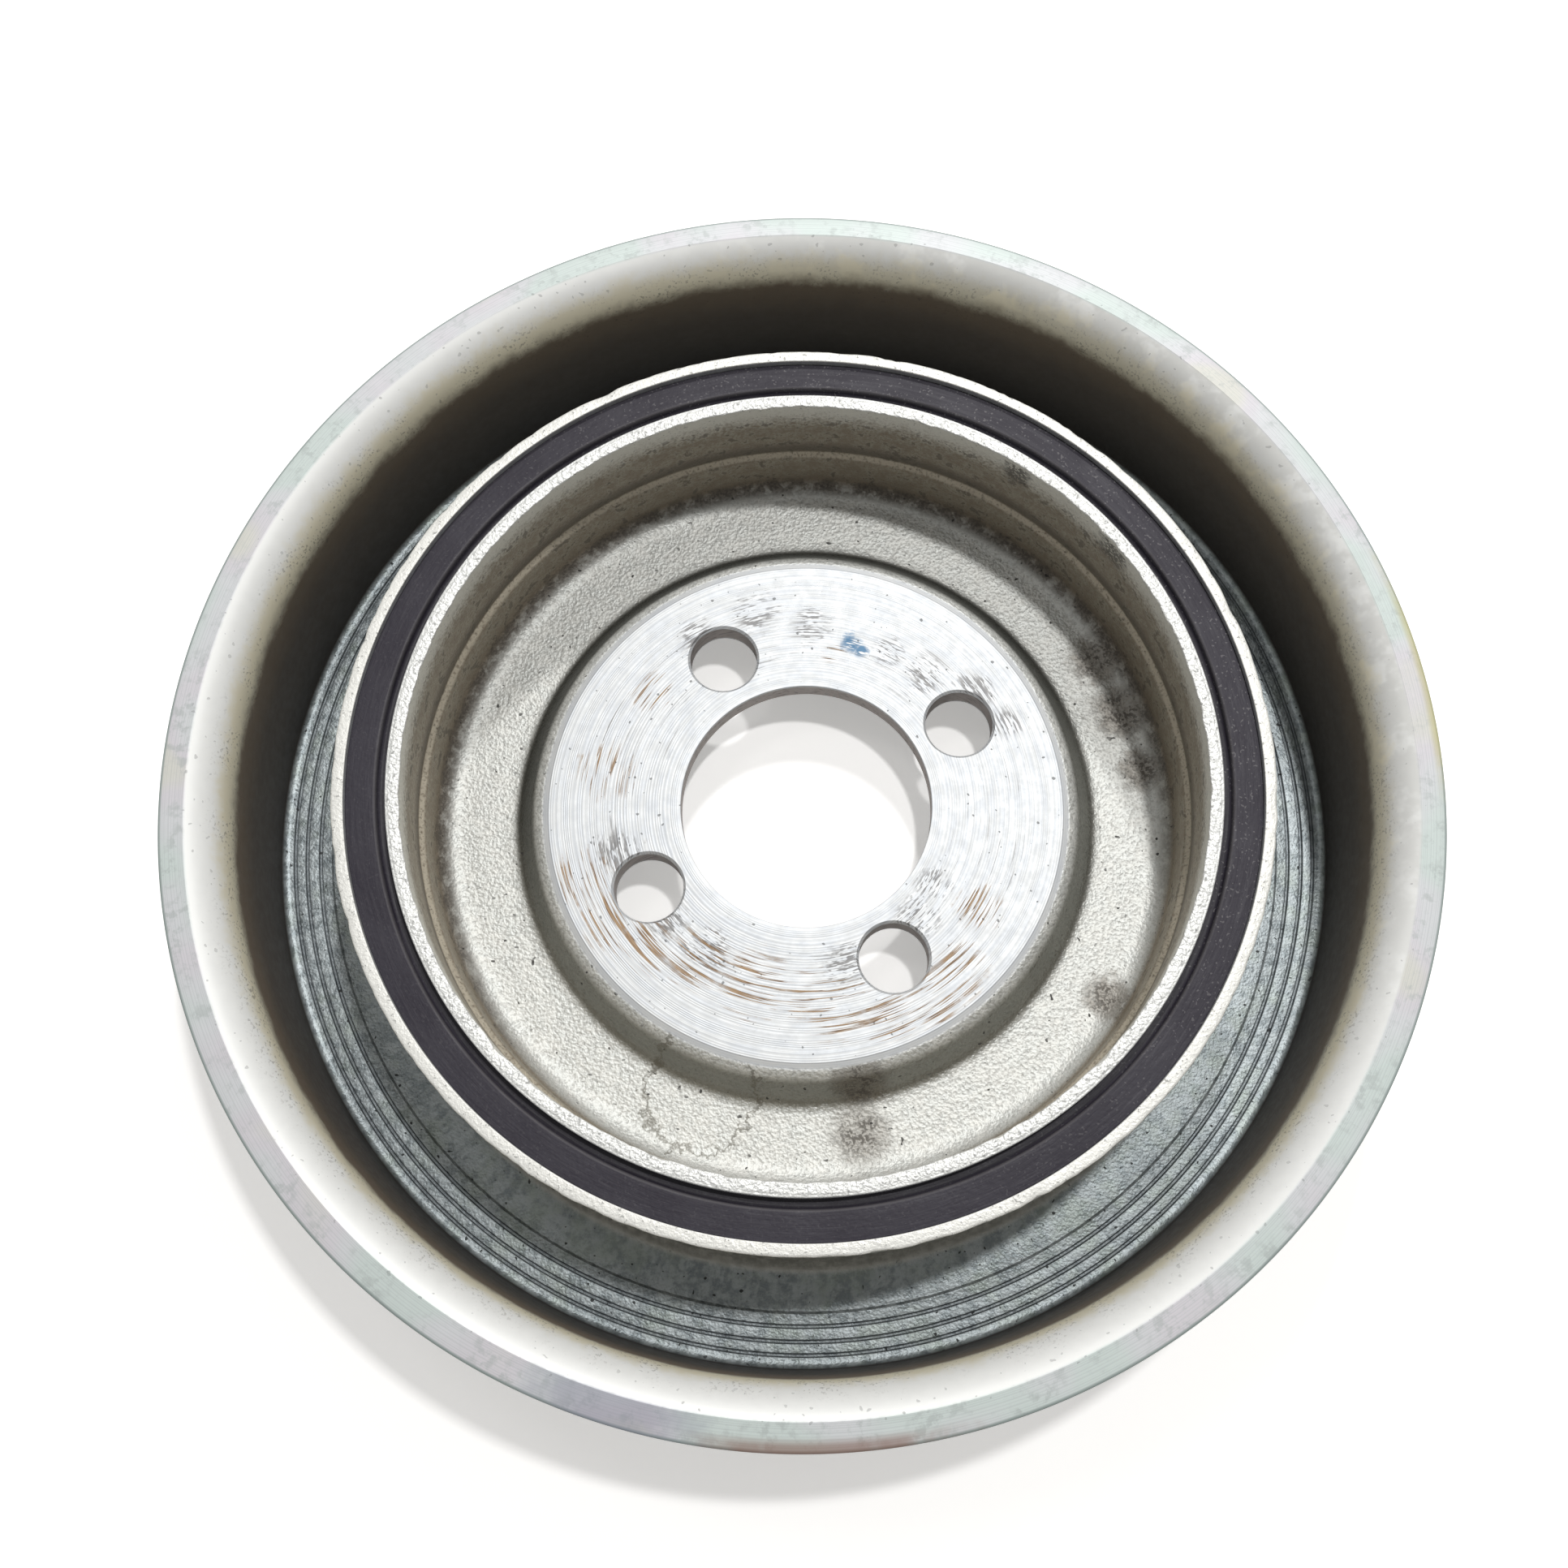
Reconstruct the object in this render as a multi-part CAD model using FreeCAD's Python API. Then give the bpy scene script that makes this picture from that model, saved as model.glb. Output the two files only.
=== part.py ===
import FreeCAD, Part
import math
import os

# Crankshaft belt pulley: a bolted hub cup, a rubber damper ring around it, and a ribbed rim.
# Millimetres. The origin is the centre of the bore, on the turned rear face of the hub
# flange. +Z is the axis of rotation and points to the open rear side of the pulley.

# Hub flange: the turned face that is bolted to the shaft
BORE_RADIUS = 15.75
BOLT_COUNT = 4
BOLT_HOLE_RADIUS = 4.3
BOLT_FIRST_ANGLE = 31.7
BORE_TO_BOLT_METAL = 2.15
BOLT_TO_EDGE_METAL = 5.7
FLANGE_THICKNESS = 3.5

# Hub cup: the pressed step, the sunk floor and the wall around it
SHOULDER_RUN = 1.8
SHOULDER_DROP = 0.6
STEP_RUN = 4.2
STEP_DEPTH = 4.9
STEP_WALL = 3.0
CUP_FLOOR_WIDTH = 10.35
CUP_FLOOR_THICKNESS = 3.7
CUP_CORNER_ROUND = 3.0
CUP_HEIGHT = 16.0
TURNED_DEPTH = 12.5
LEDGE_WIDTH = 0.7
MOUTH_DRAW_IN = 0.65
CUP_MOUTH_WALL = 1.65

# Damper ring: the rubber squeezed between the cup and the collar
RUBBER_THICKNESS = 4.65
RUBBER_LENGTH = 20.0
RUBBER_SETBACK = 0.5
MOAT_WIDTH = 1.2
MOAT_DEPTH = 1.0

# Belt rim: inner collar, web, drum wall and flared mouth
COLLAR_THICKNESS = 1.4
COLLAR_PROUD = 0.25
COLLAR_FOOT_ROUND = 2.2
WEB_THICKNESS = 2.6
WEB_PROUD = 0.35
FLOOR_WIDTH = 12.4
FLARE_HEIGHT = 5.8
RIM_FACE_WIDTH = 3.1
RIM_FACE_RISE = 0.7

# Belt track: the grooves for the ribs of the belt, between two guide flanges
GROOVE_COUNT = 6
GROOVE_PITCH = 3.56
GROOVE_ANGLE = 40.0
GROOVE_DEPTH = 3.9
METAL_UNDER_GROOVE = 1.4
GUIDE_HEIGHT = 1.4
GUIDE_EDGE_WIDTH = 1.7
GUIDE_SLOPE_WIDTH = 1.0

# Bends are drawn as chords of their arcs, so that the solids stay light
BEND_CHORDS = 1
FLARE_CHORDS = 2

# Radii of the hub, from the bore outwards
BOLT_CIRCLE_RADIUS = BORE_RADIUS + BORE_TO_BOLT_METAL + BOLT_HOLE_RADIUS
FLANGE_RADIUS = BOLT_CIRCLE_RADIUS + BOLT_HOLE_RADIUS + BOLT_TO_EDGE_METAL
STEP_FOOT_RADIUS = FLANGE_RADIUS + STEP_RUN
RECESS_RADIUS = STEP_FOOT_RADIUS - STEP_WALL
CUP_INNER_RADIUS = STEP_FOOT_RADIUS + CUP_FLOOR_WIDTH
LEDGE_RADIUS = CUP_INNER_RADIUS + LEDGE_WIDTH
MOUTH_RADIUS = LEDGE_RADIUS - MOUTH_DRAW_IN
CUP_OUTER_RADIUS = MOUTH_RADIUS + CUP_MOUTH_WALL

# Radii of the rim, from the rubber outwards
COLLAR_INNER_RADIUS = CUP_OUTER_RADIUS + RUBBER_THICKNESS
COLLAR_OUTER_RADIUS = COLLAR_INNER_RADIUS + COLLAR_THICKNESS
DRUM_RADIUS = COLLAR_OUTER_RADIUS + FLOOR_WIDTH
GROOVE_ROOT_RADIUS = DRUM_RADIUS + METAL_UNDER_GROOVE
RIB_TIP_RADIUS = GROOVE_ROOT_RADIUS + GROOVE_DEPTH
GUIDE_RADIUS = RIB_TIP_RADIUS + GUIDE_HEIGHT
FACE_INNER_RADIUS = GUIDE_RADIUS - RIM_FACE_WIDTH

# Heights, from the flange face at zero
CUP_FLOOR_Z = -STEP_DEPTH
HUB_FRONT_Z = CUP_FLOOR_Z - CUP_FLOOR_THICKNESS
LEDGE_Z = CUP_HEIGHT - TURNED_DEPTH
WEB_FRONT_Z = HUB_FRONT_Z - WEB_PROUD
DRUM_FLOOR_Z = WEB_FRONT_Z + WEB_THICKNESS
COLLAR_END_Z = CUP_HEIGHT + COLLAR_PROUD
RUBBER_END_Z = CUP_HEIGHT - RUBBER_SETBACK


def turned(section):
    """Solid turned about the axis from the (radius, height) corners of its half section."""
    points = [FreeCAD.Vector(radius, 0, height) for radius, height in section]
    face = Part.Face(Part.makePolygon(points + points[:1]))
    return face.revolve(FreeCAD.Vector(0, 0, 0), FreeCAD.Vector(0, 0, 1), 360)


def bend(centre_radius, centre_z, rounding, first_angle, last_angle, chords):
    """Corners along a bend of the half section, at the ends of the chords of its arc."""
    corners = []
    for step in range(chords + 1):
        share = step / chords
        angle = math.radians(first_angle + (last_angle - first_angle) * share)
        radius = centre_radius + rounding * math.cos(angle)
        height = centre_z + rounding * math.sin(angle)
        corners.append((radius, height))
    return corners


def cup_inside():
    """Corners of the cup's rear side: flange face, step, sunk floor, ledge and mouth."""
    return [
        (BORE_RADIUS, 0),
        (FLANGE_RADIUS, 0),
        (FLANGE_RADIUS + SHOULDER_RUN, -SHOULDER_DROP),
        (STEP_FOOT_RADIUS, CUP_FLOOR_Z),
        *bend(
            CUP_INNER_RADIUS - CUP_CORNER_ROUND,
            CUP_FLOOR_Z + CUP_CORNER_ROUND,
            CUP_CORNER_ROUND, -90, 0, BEND_CHORDS,
        ),
        (CUP_INNER_RADIUS, LEDGE_Z - LEDGE_WIDTH),
        (LEDGE_RADIUS, LEDGE_Z),
        (MOUTH_RADIUS, CUP_HEIGHT),
    ]


def cup_outside():
    """Corners of the cup's front side: outer wall, bend, front face and bolt recess."""
    rounding = CUP_CORNER_ROUND + CUP_OUTER_RADIUS - CUP_INNER_RADIUS
    return [
        (CUP_OUTER_RADIUS, CUP_HEIGHT),
        *bend(
            CUP_OUTER_RADIUS - rounding, HUB_FRONT_Z + rounding,
            rounding, 0, -90, BEND_CHORDS,
        ),
        (RECESS_RADIUS, HUB_FRONT_Z),
        (RECESS_RADIUS, -FLANGE_THICKNESS),
        (BORE_RADIUS, -FLANGE_THICKNESS),
    ]


def hub():
    """Steel hub: one pressed and turned cup with a ring of bolt holes in its flange."""
    body = turned(cup_inside() + cup_outside())
    for index in range(BOLT_COUNT):
        angle = math.radians(BOLT_FIRST_ANGLE + index * 360 / BOLT_COUNT)
        direction = FreeCAD.Vector(math.cos(angle), math.sin(angle), 0)
        foot = direction * BOLT_CIRCLE_RADIUS - FreeCAD.Vector(0, 0, FLANGE_THICKNESS)
        body = body.cut(Part.makeCylinder(BOLT_HOLE_RADIUS, FLANGE_THICKNESS, foot))
    return body


def damper_ring():
    """Rubber ring, with the moat that its squeezed end leaves beside the cup."""
    front_z = RUBBER_END_Z - RUBBER_LENGTH
    return turned([
        (CUP_OUTER_RADIUS, front_z),
        (CUP_OUTER_RADIUS, RUBBER_END_Z - MOAT_DEPTH),
        (CUP_OUTER_RADIUS + MOAT_WIDTH, RUBBER_END_Z - MOAT_DEPTH),
        (CUP_OUTER_RADIUS + MOAT_WIDTH, RUBBER_END_Z),
        (COLLAR_INNER_RADIUS, RUBBER_END_Z),
        (COLLAR_INNER_RADIUS, front_z),
    ])


def collar_and_web():
    """Corners of the channel behind the web: collar end, collar foot and drum corner."""
    return [
        (COLLAR_INNER_RADIUS, COLLAR_END_Z),
        (COLLAR_OUTER_RADIUS, COLLAR_END_Z),
        *bend(
            COLLAR_OUTER_RADIUS + COLLAR_FOOT_ROUND,
            DRUM_FLOOR_Z + COLLAR_FOOT_ROUND,
            COLLAR_FOOT_ROUND, 180, 270, BEND_CHORDS,
        ),
        (DRUM_RADIUS, DRUM_FLOOR_Z),
    ]


def flared_mouth(face_z):
    """Corners where the drum wall flares out, on one arc, to the edge of the rim face."""
    run = FACE_INNER_RADIUS - DRUM_RADIUS
    rounding = (run ** 2 + FLARE_HEIGHT ** 2) / (2 * run)
    turn = math.degrees(math.asin(FLARE_HEIGHT / rounding))
    return bend(
        DRUM_RADIUS + rounding, face_z - FLARE_HEIGHT,
        rounding, 180, 180 - turn, FLARE_CHORDS,
    )


def belt_track():
    """Corners of the grooved track and its two guide flanges, from front to rear."""
    half_mouth = GROOVE_DEPTH * math.tan(math.radians(GROOVE_ANGLE / 2))
    guide_width = GUIDE_EDGE_WIDTH + GUIDE_SLOPE_WIDTH
    first_centre = WEB_FRONT_Z + guide_width + half_mouth
    last_centre = first_centre + (GROOVE_COUNT - 1) * GROOVE_PITCH
    rear_z = last_centre + half_mouth + guide_width
    corners = [
        (GUIDE_RADIUS, WEB_FRONT_Z),
        (GUIDE_RADIUS, WEB_FRONT_Z + GUIDE_EDGE_WIDTH),
    ]
    for index in range(GROOVE_COUNT):
        centre = first_centre + index * GROOVE_PITCH
        corners.append((RIB_TIP_RADIUS, centre - half_mouth))
        corners.append((GROOVE_ROOT_RADIUS, centre))
        corners.append((RIB_TIP_RADIUS, centre + half_mouth))
    corners.append((GUIDE_RADIUS, rear_z - GUIDE_EDGE_WIDTH))
    corners.append((GUIDE_RADIUS, rear_z))
    return corners


def belt_rim():
    """Steel rim: one sheet from the collar, through the web, to the grooved drum wall."""
    track = belt_track()
    mouth = flared_mouth(track[-1][1] + RIM_FACE_RISE)
    rounding = COLLAR_FOOT_ROUND + WEB_THICKNESS
    web_bend = bend(
        COLLAR_INNER_RADIUS + rounding, WEB_FRONT_Z + rounding,
        rounding, 270, 180, BEND_CHORDS,
    )
    return turned(collar_and_web() + mouth + track[::-1] + web_bend)


os.makedirs("parts", exist_ok=True)
for name, solid in (
    ("hub", hub()),
    ("damper_ring", damper_ring()),
    ("belt_rim", belt_rim()),
):
    solid.exportStep("parts/" + name + ".step")
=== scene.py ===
import bmesh
import bpy
import math
from mathutils import Matrix, Vector, noise


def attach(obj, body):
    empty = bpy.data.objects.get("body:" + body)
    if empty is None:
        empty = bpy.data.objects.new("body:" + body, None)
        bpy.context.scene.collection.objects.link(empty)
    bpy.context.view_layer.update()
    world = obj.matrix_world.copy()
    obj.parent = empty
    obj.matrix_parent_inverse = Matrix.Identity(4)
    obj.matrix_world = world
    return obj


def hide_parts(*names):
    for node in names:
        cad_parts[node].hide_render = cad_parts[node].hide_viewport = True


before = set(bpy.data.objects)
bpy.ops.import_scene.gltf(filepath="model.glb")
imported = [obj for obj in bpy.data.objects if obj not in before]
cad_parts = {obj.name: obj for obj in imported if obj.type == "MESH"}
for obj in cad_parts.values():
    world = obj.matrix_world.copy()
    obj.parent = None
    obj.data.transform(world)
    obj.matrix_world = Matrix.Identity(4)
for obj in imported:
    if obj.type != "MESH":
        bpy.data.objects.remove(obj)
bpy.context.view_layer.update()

# Hub: the cup in the middle, bolted to the end of the crankshaft.
# It is one steel blank, pressed, then turned on the flange face and in the mouth, drilled
# and zinc plated. Its sunk floor keeps the grain of the blasted blank.
MM = 0.001
SEGMENTS = 480
HUB_SWEEP = 0.035
BORE_RADIUS = 15.75
FLANGE_EDGE = 32.2
FLANGE_THICKNESS = 3.5
BOLT_HOLES = 4
BOLT_CIRCLE = 22.2
BOLT_HOLE_RADIUS = 4.3
BOLT_HOLE_BREAK = 0.3
FIRST_HOLE_ANGLE = 31.7
HOLE_SIDES = 72
STEP_FOOT = 36.4
CUP_FLOOR = -4.9
CUP_WALL = 46.75
LEDGE_RADIUS = 47.45
LEDGE_HEIGHT = 3.5
MOUTH_RADIUS = 46.8
CUP_END = 16.0
CUP_OUTSIDE = 48.45
HUB_FRONT = -8.6
RECESS_RADIUS = 33.4

# Corners of the half section in millimetres: radius, height, rounding
HUB_CORNERS = [
    (BORE_RADIUS, 0.0, 0.08),
    (FLANGE_EDGE, 0.0, 0.12),
    (34.0, -0.6, 3.0),
    (STEP_FOOT, CUP_FLOOR, 2.4),
    (CUP_WALL, CUP_FLOOR, 3.0),
    (CUP_WALL, 2.8, 0.3),
    (LEDGE_RADIUS, LEDGE_HEIGHT, 0.25),
    (MOUTH_RADIUS, CUP_END, 0.18),
    (CUP_OUTSIDE, CUP_END, 0.22),
    (CUP_OUTSIDE, HUB_FRONT, 4.7),
    (RECESS_RADIUS, HUB_FRONT, 1.8),
    (RECESS_RADIUS, -FLANGE_THICKNESS, 0.9),
    (16.25, -FLANGE_THICKNESS, 0.1),
    (BORE_RADIUS, -3.0, 0.1),
]


def rounded(corners, step=14):
    """Corners of a closed half section with each corner rounded off by an arc."""
    points = []
    for index, (radius, height, rounding) in enumerate(corners):
        here = Vector((radius, height))
        before = (Vector(corners[index - 1][:2]) - here).normalized()
        after = (Vector(corners[(index + 1) % len(corners)][:2]) - here).normalized()
        half = math.acos(max(-1.0, min(1.0, before.dot(after)))) / 2
        turn = math.pi - 2 * half
        if rounding <= 0 or turn < 0.02:
            points.append(here)
            continue
        centre = here + (before + after).normalized() * rounding / math.sin(half)
        start = here + before * rounding / math.tan(half) - centre
        side = math.copysign(1, before.x * after.y - before.y * after.x)
        count = max(2, round(math.degrees(turn) / step))
        for k in range(count + 1):
            angle = -side * turn * k / count
            points.append(centre + Matrix.Rotation(angle, 2) @ start)
    return points


def with_steps(points, longest):
    """The same closed line with every long run divided, so that the metal can be dented."""
    stepped = []
    for index, point in enumerate(points):
        towards = points[(index + 1) % len(points)]
        parts = max(1, math.ceil((towards - point).length / longest))
        for k in range(parts):
            stepped.append(point.lerp(towards, k / parts))
    return stepped


def node_group(name, kind, inputs, outputs):
    """A node group with named sockets, and what its inputs give inside it."""
    tree = bpy.data.node_groups.new(name, kind + "NodeTree")
    for side, sockets in (("INPUT", inputs), ("OUTPUT", outputs)):
        for label, what, *value in sockets:
            socket = tree.interface.new_socket(
                label, in_out=side, socket_type="NodeSocket" + what)
            if value:
                socket.default_value = value[0]
    return tree, tree.nodes.new("NodeGroupInput").outputs


def place_node(tree, kind, inputs=None, **settings):
    """A node with its settings, its fixed values and its links."""
    made = tree.nodes.new(kind)
    for name, value in settings.items():
        setattr(made, name, value)
    for name, value in (inputs or {}).items():
        if isinstance(value, bpy.types.NodeSocket):
            tree.links.new(value, made.inputs[name])
        else:
            made.inputs[name].default_value = value
    return made


def worked_out(tree, operation, *values):
    """The result of one sum in a tree, on numbers or on what other nodes give."""
    return place_node(
        tree, "ShaderNodeMath", dict(enumerate(values)), operation=operation).outputs[0]


def swept_round(tree, profile, segments, radius):
    """A profile swept once round the axis of the pulley."""
    circle = place_node(tree, "GeometryNodeCurvePrimitiveCircle", {
        "Resolution": segments, "Radius": radius}, mode="RADIUS")
    upright = place_node(
        tree, "GeometryNodeSetCurveNormal", {"Curve": circle.outputs[0]}, mode="Z_UP")
    return place_node(tree, "GeometryNodeCurveToMesh", {
        "Curve": upright.outputs[0], "Profile Curve": profile}).outputs[0]


def real_copies(tree, geometry):
    """The geometry with its instances made real."""
    return place_node(
        tree, "GeometryNodeRealizeInstances", {"Geometry": geometry}).outputs[0]


def cut_at_points(tree, blank, points, tool):
    """What stays of a blank when a copy of the tool is cut out of it at every point."""
    copies = place_node(
        tree, "GeometryNodeInstanceOnPoints", {"Points": points, "Instance": tool})
    return place_node(tree, "GeometryNodeMeshBoolean", {
        "Mesh 1": blank, "Mesh 2": real_copies(tree, copies.outputs[0])},
        operation="DIFFERENCE", solver="MANIFOLD").outputs[0]


def given_out(tree, name, geometry, metal):
    """The geometry, made real and with its material, as the result of the tree."""
    finish = place_node(tree, "GeometryNodeSetMaterial", {
        "Geometry": real_copies(tree, geometry), "Material": metal})
    place_node(tree, "NodeGroupOutput", {name: finish.outputs[0]})


def turned_ring_tree():
    """Geometry nodes that sweep a half section once round the axis of the pulley."""
    tree, given = node_group("turned_ring", "Geometry", (
        ("Section", "Geometry"), ("Segments", "Int", SEGMENTS),
        ("Sweep radius", "Float", HUB_SWEEP), ("Metal", "Material")), [("Ring", "Geometry")])
    line = place_node(tree, "GeometryNodeMeshToCurve", {"Mesh": given["Section"]})
    ring = swept_round(tree, line.outputs[0], given["Segments"], given["Sweep radius"])
    given_out(tree, "Ring", ring, given["Metal"])
    return tree


def bolt_circle_tree():
    """Geometry nodes that drill a circle of bolt holes with broken edges through a flange."""
    tree, given = node_group("bolt_circle", "Geometry", (
        ("Flange", "Geometry"), ("Holes", "Int", BOLT_HOLES),
        ("Circle radius", "Float", BOLT_CIRCLE * MM),
        ("Hole radius", "Float", BOLT_HOLE_RADIUS * MM), ("Hole sides", "Int", HOLE_SIDES),
        ("Edge break", "Float", BOLT_HOLE_BREAK * MM), ("First angle", "Float", 0.0),
        ("Thickness", "Float", FLANGE_THICKNESS * MM), ("Metal", "Material"),
    ), [("Drilled", "Geometry")])
    points = place_node(tree, "GeometryNodeMeshCircle", {
        "Vertices": given["Holes"], "Radius": given["Circle radius"]})
    turn = place_node(tree, "ShaderNodeCombineXYZ", {"Z": given["First angle"]})
    turned = place_node(tree, "GeometryNodeTransform", {
        "Geometry": points.outputs[0], "Rotation": turn.outputs[0]})
    break_depth = worked_out(tree, "MULTIPLY", given["Edge break"], 2.0)
    wide = worked_out(tree, "ADD", given["Hole radius"], break_depth)
    drill = place_node(tree, "GeometryNodeMeshCylinder", {
        "Vertices": given["Hole sides"], "Radius": given["Hole radius"],
        "Depth": worked_out(tree, "MULTIPLY", given["Thickness"], 4.0)})
    countersink = place_node(tree, "GeometryNodeMeshCone", {
        "Vertices": given["Hole sides"], "Radius Top": wide,
        "Radius Bottom": given["Hole radius"], "Depth": break_depth})
    drop = place_node(tree, "ShaderNodeCombineXYZ", {
        "Z": worked_out(tree, "MULTIPLY", given["Edge break"], -1.0)})
    sunk = place_node(tree, "GeometryNodeTransform", {
        "Geometry": countersink.outputs[0], "Translation": drop.outputs[0]})
    drilled = cut_at_points(tree, given["Flange"], turned.outputs[0], drill.outputs[0])
    broken = cut_at_points(tree, drilled, turned.outputs[0], sunk.outputs[0])
    given_out(tree, "Drilled", broken, given["Metal"])
    return tree


def worked(name, mesh, tree, values):
    """A new object whose mesh is what the geometry nodes make of the given mesh."""
    blank = bpy.data.objects.new(name + "_blank", mesh)
    bpy.context.scene.collection.objects.link(blank)
    modifier = blank.modifiers.new("nodes", "NODES")
    modifier.node_group = tree
    for item in tree.interface.items_tree:
        if item.item_type == "SOCKET" and item.in_out == "INPUT" and item.name in values:
            modifier[item.identifier] = values[item.name]
    bpy.context.view_layer.update()
    graph = bpy.context.evaluated_depsgraph_get()
    plain = bpy.data.meshes.new_from_object(blank.evaluated_get(graph))
    plain.name = name
    blank.modifiers.remove(modifier)
    bpy.data.objects.remove(blank)
    return plain


def swept_blank(name, corners, longest, sweep_radius, metal):
    """The half section as a loop of edges, rounded and divided, then swept to a ring."""
    points = with_steps(rounded(corners), longest)
    count = len(points)
    section = bpy.data.meshes.new(name + "_section")
    section.from_pydata(
        [(point.x * MM - sweep_radius, -point.y * MM, 0) for point in points],
        [(k, (k + 1) % count) for k in range(count)], [])
    return worked(name, section, TURNED_RING, {
        "Segments": SEGMENTS, "Sweep radius": sweep_radius, "Metal": metal})


TURNED_RING = turned_ring_tree()


def made_piece(name, mesh, crease=28):
    """The finished object: one closed skin, faces outwards, creases kept sharp."""
    work = bmesh.new()
    work.from_mesh(mesh)
    bmesh.ops.remove_doubles(work, verts=work.verts, dist=1e-7)
    if work.calc_volume(signed=True) < 0:
        bmesh.ops.reverse_faces(work, faces=work.faces)
    limit = math.radians(crease)
    for face in work.faces:
        face.smooth = True
    for edge in work.edges:
        edge.smooth = len(edge.link_faces) == 2 and edge.calc_face_angle(0) < limit
    work.to_mesh(mesh)
    work.free()
    piece = bpy.data.objects.new(name, mesh)
    bpy.context.scene.collection.objects.link(piece)
    return piece


def product(tree, *values):
    """All the masks multiplied together."""
    total = values[0]
    for value in values[1:]:
        total = worked_out(tree, "MULTIPLY", total, value)
    return total


def strongest(tree, *masks):
    """The strongest of the masks at every point."""
    total = masks[0]
    for mask in masks[1:]:
        total = worked_out(tree, "MAXIMUM", total, mask)
    return total


def rise(tree, value, start, end, low=0.0, high=1.0):
    """A soft change from low to high while the value goes from start to end."""
    return place_node(tree, "ShaderNodeMapRange", {
        "Value": value, "From Min": start, "From Max": end, "To Min": low, "To Max": high,
    }, interpolation_type="SMOOTHSTEP").outputs[0]


def band(tree, value, low, high, soft):
    """One between low and high, and nothing a little way outside them."""
    return product(tree, rise(tree, value, low - soft, low + soft),
                   rise(tree, value, high + soft, high - soft))


def painted(tree, under, over, *masks):
    """A colour laid over another one, as far as the masks together let it."""
    return place_node(tree, "ShaderNodeMix", {
        0: product(tree, *masks), 6: under, 7: over}, data_type="RGBA").outputs[2]


def cloud(tree, vector, scale, detail=2.0, roughness=0.5):
    """Uneven patches from 0 to 1, in millimetres over the scale."""
    return place_node(tree, "ShaderNodeTexNoise", {
        "Vector": vector, "Scale": scale, "Detail": detail, "Roughness": roughness,
    }).outputs[0]


def ring_place_group():
    """Where a point lies on the turned part, in millimetres from the bore's centre."""
    tree, _ = node_group("ring_place", "Shader", [], (
        ("Place", "Vector"), ("Flat", "Vector"), ("Radius", "Float"), ("Height", "Float"),
        ("Around", "Vector"), ("Turning", "Vector"), ("Sweeping", "Vector"),
        ("Outwards", "Vector")))

    def vector_sum(operation, *values):
        """What one sum on vectors gives."""
        return place_node(
            tree, "ShaderNodeVectorMath", dict(enumerate(values)), operation=operation).outputs

    spot = place_node(tree, "ShaderNodeTexCoord").outputs["Object"]
    place = vector_sum("MULTIPLY", spot, (1 / MM, 1 / MM, 1 / MM))["Vector"]
    flat = vector_sum("MULTIPLY", place, (1, 1, 0))["Vector"]
    radius = vector_sum("LENGTH", flat)["Value"]
    around = vector_sum("NORMALIZE", flat)["Vector"]
    height = place_node(tree, "ShaderNodeSeparateXYZ", {0: place}).outputs["Z"]
    depth = worked_out(tree, "ADD", radius, height)
    parts = place_node(tree, "ShaderNodeSeparateXYZ", {0: around}).outputs

    def spun(along, across):
        """A place for noise, with its own scale along the turning and across it."""
        return place_node(tree, "ShaderNodeCombineXYZ", {
            "X": product(tree, parts["X"], along), "Y": product(tree, parts["Y"], along),
            "Z": product(tree, depth, across)}).outputs[0]

    place_node(tree, "NodeGroupOutput", {
        "Place": place, "Flat": flat, "Radius": radius, "Height": height, "Around": around,
        "Turning": spun(7.0, 1.6), "Sweeping": spun(2.1, 2.9), "Outwards": spun(46.0, 0.2)})
    return tree


def turned_lines_group():
    """The fine rings that a turning tool leaves, uneven in depth and in spacing."""
    tree, given = node_group(
        "turned_lines", "Shader", [("Radius", "Float"), ("Pitch", "Float", 0.4)],
        [("Lines", "Float")])
    turns = worked_out(tree, "DIVIDE", given["Radius"], given["Pitch"])
    drift = place_node(tree, "ShaderNodeTexNoise", {
        "W": given["Radius"], "Scale": 0.9, "Detail": 0.0}, noise_dimensions="1D").outputs[0]
    phase = worked_out(tree, "MULTIPLY_ADD", turns, math.tau, product(tree, drift, 9.0))
    wave = worked_out(tree, "SINE", phase)
    coarse = place_node(tree, "ShaderNodeTexNoise", {"W": turns, "Scale": 1.1, "Detail": 1.5},
                        noise_dimensions="1D").outputs[0]
    lines = worked_out(tree, "MULTIPLY_ADD", wave, 0.28, coarse)
    place_node(tree, "NodeGroupOutput", {"Lines": lines})
    return tree


def black_pits_group():
    """Small pits where the zinc has gone and dirt sits; a lower rarity gives more of them."""
    tree, given = node_group("black_pits", "Shader", (
        ("Place", "Vector"), ("Finesse", "Float", 1.6), ("Rarity", "Float", 0.78),
        ("Softness", "Float", 0.025)), [("Pits", "Float")])
    grains = cloud(tree, given["Place"], given["Finesse"], 0.0)
    full = worked_out(tree, "ADD", given["Rarity"], given["Softness"])
    place_node(tree, "NodeGroupOutput", {"Pits": rise(tree, grains, given["Rarity"], full)})
    return tree


FAR_AWAY = -9.0


def stain_group():
    """How far a point lies within a round patch: 1 at its middle, 0 at its reach."""
    tree, given = node_group("shade_and_stain", "Shader", (
        ("Place", "Vector"), ("Spot", "Vector"), ("Reach", "Float", 3.0),
        ("Before", "Float", FAR_AWAY)), [("Nearness", "Float")])
    far = place_node(tree, "ShaderNodeVectorMath", {
        0: given["Place"], 1: given["Spot"]}, operation="DISTANCE").outputs["Value"]
    slope = worked_out(tree, "DIVIDE", -1.0, given["Reach"])
    near = worked_out(tree, "MULTIPLY_ADD", far, slope, 1.0)
    place_node(tree, "NodeGroupOutput", {"Nearness": strongest(tree, near, given["Before"])})
    return tree


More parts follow.
